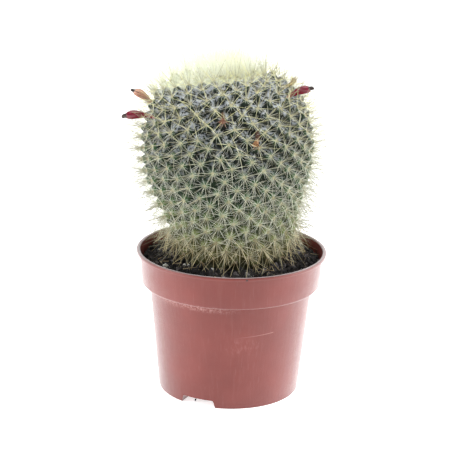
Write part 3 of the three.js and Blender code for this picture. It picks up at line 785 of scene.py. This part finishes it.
# Areole felt: a small tuft of short white wool on every tubercle's tip, thickest at the crown and
# worn and brownish at the foot. The spines grow out of it.
FELT_FROM = 84
draw = random.Random(3)
places = []
for tubercle in tubercles:
    if tubercle.z > FELT_FROM:
        size = lerp(1.3, 0.72, tubercle.grown) * draw.uniform(0.8, 1.15)
        flat = Matrix.Diagonal((1, 1.15, 0.62, 1))
        roll = draw.uniform(-0.4, 0.4)
        place = tubercle.matrix(lift=-0.1, roll=roll, size=size) @ flat
        places.append((tubercle.index, place, smoothstep(tubercle.z, 96, 125)))
tufts = [lump(f"tuft_{i}", 2, 0.5, i + 20, kept=0.55) for i in range(4)]
felt = scatter("areole_felt", tufts, places)
smooth_edges(felt, 80)
wool = Surface("areole_wool")
fleece = wool.ramp(wool.attribute("tone"), (0, (120, 100, 66)), (1, (188, 184, 150)))
strands = wool.use(
    mottle, Colour=fleece, Patch=(140, 128, 96), Scale=4.5, Low=0.5, High=0.75, Amount=0.5
)
wool.finish(
    bump=strands["Height"], depth=0.35, Base_Color=strands["Colour"], Roughness=0.95,
    Sheen_Weight=0.5, Sheen_Roughness=0.5, Subsurface_Weight=0.15,
)
dress(felt, wool, "cactus_skin")


# Radial spines: on every areole between foot and crown a star of 14 thin, stiff, glassy-white
# bristles, 4 to 6 mm long, that lie almost along the surface and cross their neighbours' stars, and
# five longer and greyer ones that stand out between them. They grew from the areole.
FLAT_BRISTLES, STANDING_BRISTLES = 14, 5
RADIALS_FROM = 98


def star(name, needles, sides, base, tip):
    """A star of bristles out of the origin, bent by three different amounts.
    A needle is (heading, lean, length) in degrees and mm, and base and tip are its widths."""
    bristles = [bristle(f"{name}_{bend}", sides, base, tip, bend) for bend in (-0.5, 0.3, 0.8)]
    places = []
    for number, (heading, lean, long) in enumerate(needles):
        side, tilt = radians(heading), radians(lean)
        direction = (sin(tilt) * cos(side), sin(tilt) * sin(side), cos(tilt))
        start = (0.6 * direction[0], 0.6 * direction[1], -0.3)
        place = bristle_matrix(start, direction, long, 0)
        places.append((number, Matrix.Scale(1 / MM, 4) @ place, number / len(needles)))
    return scatter(name, bristles, places)


def even_fan(draw, count, lean, spread_by, shortest, longest):
    """Needles of evenly spread headings, with leans and lengths drawn round the given ones."""
    needles = []
    for number in range(count):
        heading = 360 * (number + draw.uniform(-0.3, 0.3)) / count
        needles.append((heading, draw.gauss(lean, spread_by), draw.uniform(shortest, longest)))
    return needles


def place_stars(name, models, chosen, draw, size, lift=0, upright=0):
    """Copies the star models to the chosen tubercles. Upright is the share of the way from the
    skin's own direction to straight up that each star is turned."""
    places = []
    for tubercle in chosen:
        roll = draw.uniform(-0.6, 0.6)
        place = tubercle.matrix(lift=lift, roll=roll, size=draw.uniform(0.9, 1.1) * size(tubercle))
        raised = Quaternion().slerp(tubercle.out.rotation_difference(Vector((0, 0, 1))), upright)
        at = Matrix.Translation(tubercle.tip * MM)
        place = at @ raised.to_matrix().to_4x4() @ at.inverted() @ place
        places.append((draw.randrange(len(models)), place, draw.random()))
    return scatter(name, models, places)


# A spine's foot and tip have their own colours. Base is how much of its length the foot's takes.
spine_shade = Effect(
    "spine_shade",
    {"Along": "Float", "Foot": "Color", "Shaft": "Color", "Tip": "Color", "Base": "Float"},
    {"Colour": "Color"},
)
foot_share = spine_shade.between(spine_shade.given["Along"], spine_shade.given["Base"], 0)
tip_share = spine_shade.between(spine_shade.given["Along"], 0.88, 1, 0, 0.7)
shaft = spine_shade.blend(tip_share, spine_shade.given["Shaft"], spine_shade.given["Tip"])
shaft = spine_shade.blend(foot_share, shaft, spine_shade.given["Foot"])
spine_shade.put(shaft, spine_shade.result["Colour"])


def finish_spine(surface, foot, shaft, tip, base, **settings):
    """Finishes a spine's material, with the colours of its foot, shaft and tip."""
    along = surface.attribute("along")
    shade = surface.use(spine_shade, Along=along, Foot=foot, Shaft=shaft, Tip=tip, Base=base)
    surface.finish(Base_Color=shade["Colour"], **settings)


draw = random.Random(7)
models = []
for i in range(5):
    flat = even_fan(draw, FLAT_BRISTLES, lean=66, spread_by=9, shortest=4.2, longest=6.5)
    standing = even_fan(draw, STANDING_BRISTLES, lean=32, spread_by=12, shortest=9, longest=15)
    models.append(star(f"radial_{i}", flat + standing, sides=3, base=0.082, tip=0.035))
radials = place_stars(
    "radial_spines", models, [t for t in tubercles if t.z > RADIALS_FROM and in_brush(t.tip) < 0.8], draw,
    lambda t: lerp(0.62, lerp(1.1, 1, smoothstep(t.z, 135, 175)), t.grown), lift=0.1,
)
glassy = Surface("white_bristle")
white = glassy.blend(glassy.between(glassy.axis("Z"), 92, 118), (212, 204, 168), (238, 240, 230))
standing_from = FLAT_BRISTLES / (FLAT_BRISTLES + STANDING_BRISTLES) - 0.01
standing = glassy.math("GREATER_THAN", glassy.attribute("tone"), standing_from)
white = glassy.blend(standing, white, (152, 150, 130))
finish_spine(
    glassy, foot=(186, 176, 138), shaft=white, tip=(190, 180, 150), base=0.2,
    Roughness=0.35, Subsurface_Weight=0.1, Subsurface_Radius=(0.001, 0.001, 0.001),
)
dress(radials, glassy, "cactus_skin")


# Central spines: seven stiff straight needles on each areole, cream, yellower near the crown, with a
# brownish foot and tip. Four stand out of the star in a cross, and three longer, duller ones point
# outwards. They grew from the middle of the areole.
IN_CROSS, OUTWARDS = 4, 3
CENTRALS_FROM = 100
draw = random.Random(17)
models = []
for i in range(6):
    needles = []
    for k in range(IN_CROSS):
        heading = 45 + 90 * k + draw.gauss(0, 18)
        needles.append((heading, draw.gauss(50, 8), draw.uniform(10.5, 14.5)))
    for k in range(OUTWARDS):
        heading = 120 * k + draw.uniform(-40, 40)
        needles.append((heading, draw.uniform(8, 34), draw.uniform(12, 17.5)))
    models.append(star(f"central_{i}", needles, sides=4, base=0.108, tip=0.035))
centrals = place_stars(
    "central_spines", models, [t for t in tubercles if t.z > CENTRALS_FROM and in_brush(t.tip) < 0.6], draw,
    lambda t: lerp(1.2, 1.08, smoothstep(t.z, 120, 165)), lift=0.1,
)
straw = Surface("straw_spine")
high = straw.between(straw.axis("Z"), 145, 190)
needle = straw.blend(high, (212, 214, 192), (238, 236, 176))
needle = straw.blend(straw.between(straw.axis("Z"), 112, 92), needle, (214, 194, 142))
outward_from = IN_CROSS / (IN_CROSS + OUTWARDS) - 0.01
dull = straw.math("GREATER_THAN", straw.attribute("tone"), outward_from)
needle = straw.blend(dull, needle, (162, 158, 130))
finish_spine(
    straw, foot=(172, 158, 112), shaft=needle, tip=(164, 150, 118), base=0.14,
    Roughness=0.42, Subsurface_Weight=0.1, Subsurface_Radius=(0.001, 0.001, 0.001),
)
dress(centrals, straw, "cactus_skin")


# Foot spines: old, long needles on the lowest tubercles, pale straw and tangled, that point down
# and out over the soil. They grew from the areoles, and stay when the flesh under them corks.
FOOT_FROM, FOOT_TO = 90, 112
draw = random.Random(41)
models = []
for i in range(5):
    needles = []
    for turn in (-40, 0, 38):
        heading = 270 + turn + draw.gauss(0, 8)
        needles.append((heading, draw.uniform(42, 74), draw.uniform(10, 15.5)))
    models.append(star(f"foot_{i}", needles, sides=4, base=0.125, tip=0.045))
foot_spines = place_stars(
    "foot_spines", models, [t for t in tubercles if FOOT_FROM < t.z < FOOT_TO], draw,
    lambda t: lerp(1, 0.75, smoothstep(t.z, 100, 122)), lift=0.1,
)
old = Surface("old_spine")
worn = old.use(
    mottle, Colour=(242, 230, 184), Patch=(190, 168, 116), Scale=0.5, Low=0.42, High=0.66, Amount=0.8
)
finish_spine(old, foot=(150, 128, 84), shaft=worn["Colour"], tip=(162, 150, 116), base=0.5, Roughness=0.5)
dress(foot_spines, old, "cactus_skin")


# Crown spines: a dense upright brush of long, fine, pale needles round the growing point, a little
# yellower in its middle. They grew from the youngest areoles.
BRUSH_MIDDLE = (-3, 2, 210)
draw = random.Random(29)
models = []
for i in range(4):
    needles = even_fan(draw, count=32, lean=26, spread_by=13, shortest=13, longest=27.5)
    models.append(star(f"crown_{i}", needles, sides=3, base=0.08, tip=0.025))
crown = place_stars(
    "crown_spines", models, [t for t in tubercles if in_brush(t.tip) > 0.1], draw,
    lambda t: lerp(0.8, 1, in_brush(t.tip)), upright=0.6,
)
young = Surface("yellow_needle")
from_middle = young.vector("SUBTRACT", young.position, BRUSH_MIDDLE)
from_middle = young.vector("LENGTH", young.vector("MULTIPLY", from_middle, (1, 1, 0.4)))
fresh = young.blend(young.between(from_middle, 12, 4, 0, 0.6), (233, 237, 218), (238, 232, 170))
finish_spine(
    young, foot=(226, 226, 200), shaft=fresh, tip=(196, 202, 178), base=0.3,
    Roughness=0.4, Subsurface_Weight=0.5, Subsurface_Radius=(0.003, 0.003, 0.003),
)
dress(crown, young, "cactus_skin")


# Berries: club-shaped fruits that the stem pushes out between its tubercles, smooth, juicy and dark
# red when ripe, pinched at the foot. The shrivelled flower stays on the tip as a dark brown tail.
BERRY_OUTLINE = [
    (0.2, 0), (0.38, 0.04), (0.42, 0.15), (0.5, 0.28), (0.66, 0.4), (0.84, 0.52), (0.96, 0.62),
    (1, 0.7), (0.94, 0.77), (0.78, 0.825), (0.55, 0.86), (0.4, 0.88), (0.38, 0.9), (0.42, 0.94),
    (0.34, 0.97), (0.2, 0.99), (0.05, 1),
]
TAIL_FROM = 0.86


def laid_along(name, foot, tip, radius, outline, segments, shape):
    """A turned piece from foot to tip, reshaped point by point by shape(share, angle).
    It keeps the share along it, and how far a fold stands out, on every point."""
    foot, tip = Vector(foot), Vector(tip)
    long = (tip - foot).length
    piece = turned(name, [(share * radius, along * long) for share, along in outline], segments)
    shares, widths = [], []
    for vertex in piece.data.vertices:
        x, y, z = vertex.co / MM
        along = z / long
        wide, side_x, side_y = shape(along, atan2(y, x))
        vertex.co = Vector((x * wide + side_x, y * wide + side_y, z)) * MM
        shares.append(along)
        widths.append(wide)
    store(piece.data, "along", shares)
    store(piece.data, "fold", widths)
    turn = (tip - foot).to_track_quat("Z", "Y").to_matrix().to_4x4()
    piece.data.transform(Matrix.Translation(foot * MM) @ turn)
    apply_modifier(piece, "SUBSURF", levels=1, render_levels=1)
    smooth_edges(piece, 70)
    return piece


def plump(along, angle):
    """A smooth berry that arches upwards, and a crumpled tail past the pinch."""
    arch = 1.6 * sin(pi * along)
    if along < TAIL_FROM:
        return 1 + 0.03 * sin(3 * angle), 0, arch
    return 1 + 0.35 * sin(5 * angle + 14 * along), 0.3 * sin(9 * along), arch


def berry_skin(name, foot, flesh, spot, vein, tail, rough_depth):
    """Berry material: paler at the foot, mottled, darker in the folds and at the dried flower."""
    made = Surface(name)
    along = made.attribute("along")
    shade = made.blend(made.between(along, 0.35, 0.05), flesh, foot)
    spots = made.use(mottle, Colour=shade, Patch=spot, Scale=0.7, Low=0.45, High=0.7, Amount=0.6)
    creased = made.between(made.attribute("fold"), 0.96, 0.86, 0, 0.85)
    shade = made.blend(creased, spots["Colour"], vein)
    shade = made.blend(made.between(along, 0.84, 0.89), shade, tail)
    rough = made.between(along, 0.84, 0.9, 0.24, 0.85)
    made.finish(
        bump=spots["Height"], depth=rough_depth, Base_Color=shade, Roughness=rough, Subsurface_Weight=0.15,
        Subsurface_Radius=(0.003, 0.0006, 0.0006), Coat_Weight=0.25, Coat_Roughness=0.2,
    )
    return made


ripe_skin = berry_skin(
    "ripe_berry", foot=(150, 40, 56), flesh=(114, 5, 34), spot=(84, 2, 26), vein=(60, 2, 20),
    tail=(56, 40, 38), rough_depth=0.12,
)
for name, node, foot, tip, radius in (
    ("berry_left_ripe", "fruit_left_ripe", (-47.6, -13, 177.4), (-69, -16, 178.4), 2.9),
    ("berry_right_ripe", "fruit_right_ripe", (29.7, -16.5, 191.4), (47, -22, 200.1), 2.7),
):
    ripe = laid_along(name, foot, tip, radius, BERRY_OUTLINE, 24, plump)
    dress(ripe, ripe_skin, "ripe_fruit", node)


# Drying berry: an older one above the left ripe one, shrunk to lengthwise folds, pink-tan with
# brown veins, and its tail dry and dark.
def shrunk(along, angle):
    """Lengthwise folds, and an arch upwards."""
    folds = 0.12 * sin(9 * angle + 3 * along) + 0.09 * sin(4 * angle - 2 * along)
    return 1 + folds, 0.3 * sin(5 * along), 1.3 * sin(pi * along)


left_drying = laid_along(
    "berry_left_drying", (-49.3, -3, 182.6), (-64.2, -5, 192.8), 2.6, BERRY_OUTLINE, 36, shrunk
)
drying_skin = berry_skin(
    "drying_berry", foot=(198, 152, 112), flesh=(186, 134, 110), spot=(142, 84, 70),
    vein=(84, 40, 34), tail=(44, 34, 34), rough_depth=0.35,
)
dress(left_drying, drying_skin, "drying_fruit", "fruit_left_drying")


# Withered flowers: small funnel flowers of last season, dried to pinched papery tubes with curled
# petal ends, still held between the spines. Reddish-brown, orange-brown and yellow-brown.
FLOWER_OUTLINE = [
    (0.25, 0), (0.42, 0.06), (0.5, 0.2), (0.62, 0.36), (0.64, 0.48), (0.6, 0.6), (0.68, 0.72),
    (0.9, 0.84), (1, 0.9), (0.8, 0.94), (0.4, 0.92), (0.1, 0.88),
]


def crumpled(along, angle):
    """Folds that run round a little, and a ragged mouth."""
    folds = 0.22 * sin(5 * angle + 5 * along) + 0.12 * sin(8 * angle - 9 * along)
    ragged = 0.3 * max(0, along - 0.7) * sin(7 * angle)
    return 1.25 + folds + ragged, 0.5 * sin(4 * along), 0.4 * sin(6 * along + 1)


def withered_flower(node, foot, tip, radius, base, end, petals):
    """A crumpled tube with thin curled petal strips round its mouth."""
    tube = laid_along(node + "_tube", foot, tip, radius, FLOWER_OUTLINE, 28, crumpled)
    draw = random.Random(len(node))
    axis = (Vector(tip) - Vector(foot)).normalized()
    mouth = Vector(foot) + (Vector(tip) - Vector(foot)) * 0.86
    strips = []
    for number in range(petals):
        turn = Quaternion(axis, 2 * pi * number / petals + draw.uniform(-0.3, 0.3))
        side = turn @ axis.orthogonal()
        direction = axis + side * draw.uniform(0.15, 0.9)
        start = mouth + side * radius * 0.5
        place = bristle_matrix(start, direction, draw.uniform(2, 3.2), draw.uniform(0, 6))
        strips.append((number, place, 1))
    models = [
        bristle(f"petal_{bend}", sides=4, base=0.5, tip=0.12, bend=bend, rings=4) for bend in (-1.4, 1.2)
    ]
    pick(tube, scatter(node + "_petals", models, strips))
    bpy.ops.object.join()
    tube.name = tube.data.name = node + "_paper"
    smooth_edges(tube, 60)
    paper = Surface(node + "_paper")
    shade = paper.blend(paper.between(paper.attribute("along"), 0.5, 0.75), base, end)
    folds = paper.use(mottle, Colour=shade, Patch=(60, 36, 26), Scale=2.4, Low=0.44, High=0.58, Amount=0.85)
    paper.finish(
        bump=folds["Height"], depth=0.3, Base_Color=folds["Colour"], Roughness=0.85, Subsurface_Weight=0.1
    )
    dress(tube, paper, "dried_flower", node)


withered_flower(
    "dried_flower_front", (-7.4, -43.4, 188.2), (-7, -51.3, 184), radius=1.5,
    base=(104, 84, 64), end=(146, 94, 76), petals=7,
)
withered_flower(
    "dried_flower_right", (13.4, -44.6, 178.1), (12.6, -52.5, 170.5), radius=1.6,
    base=(78, 50, 40), end=(176, 126, 82), petals=7,
)
withered_flower(
    "dried_flower_shoulder", (27.9, -9.5, 195.9), (36.3, -15, 203.9), radius=1.25,
    base=(150, 132, 92), end=(206, 192, 146), petals=4,
)


# Studio: a pale floor that glows softly like a light table, so that it photographs pure white,
# with large soft lamps from above, both sides and behind.
STEM_MIDDLE = Vector((0, 0, 0.12))
deselect()
bpy.ops.mesh.primitive_plane_add(size=14)
floor = bpy.context.object
floor.name = "studio_floor"
table = Surface("light_table")
table.finish(
    Base_Color=(238.6, 238.6, 238.6), Roughness=0.9, Specular_IOR_Level=0.1,
    Emission_Color=(255, 255, 255), Emission_Strength=0.72,
)
floor.data.materials.append(table.material)


def lamp(name, place, size, power):
    """A white square soft box, aimed at the stem."""
    data = bpy.data.lights.new(name, "AREA")
    data.shape, data.size, data.energy = "SQUARE", size, power
    made = bpy.data.objects.new(name, data)
    bpy.context.collection.objects.link(made)
    made.location = place
    aim = STEM_MIDDLE - Vector(place)
    made.rotation_euler = aim.to_track_quat("-Z", "Y").to_euler()


lamp("top_box", (0, -0.05, 1.3), size=1.2, power=11)
lamp("left_box", (-1.15, -0.4, 0.45), size=0.9, power=15.5)
lamp("right_box", (1.25, -0.05, 0.5), size=0.9, power=22)
lamp("back_box", (0, 1.3, 0.9), size=1.2, power=9)
world = bpy.data.worlds.new("studio_world")
world.use_nodes = True
sky = world.node_tree.nodes["Background"].inputs
sky["Color"].default_value = (1, 1, 1, 1)
sky["Strength"].default_value = 0.4
bpy.context.scene.world = world
bpy.context.scene.view_settings.view_transform = "Standard"

# The camera stands where the one that took the photo stood, by the ellipses of rim, step and foot.
camera_data = bpy.data.cameras.new("camera")
camera_data.lens = 126
camera_data.sensor_width = 36
camera = bpy.data.objects.new("camera", camera_data)
bpy.context.collection.objects.link(camera)
camera.location = (0, -0.95, 0.394)
pitch, yaw, roll = radians(73.15), radians(0.27), radians(1.39)
turn = Matrix.Rotation(yaw, 4, "Z") @ Matrix.Rotation(pitch, 4, "X") @ Matrix.Rotation(roll, 4, "Z")
camera.rotation_euler = turn.to_euler()
bpy.context.scene.camera = camera
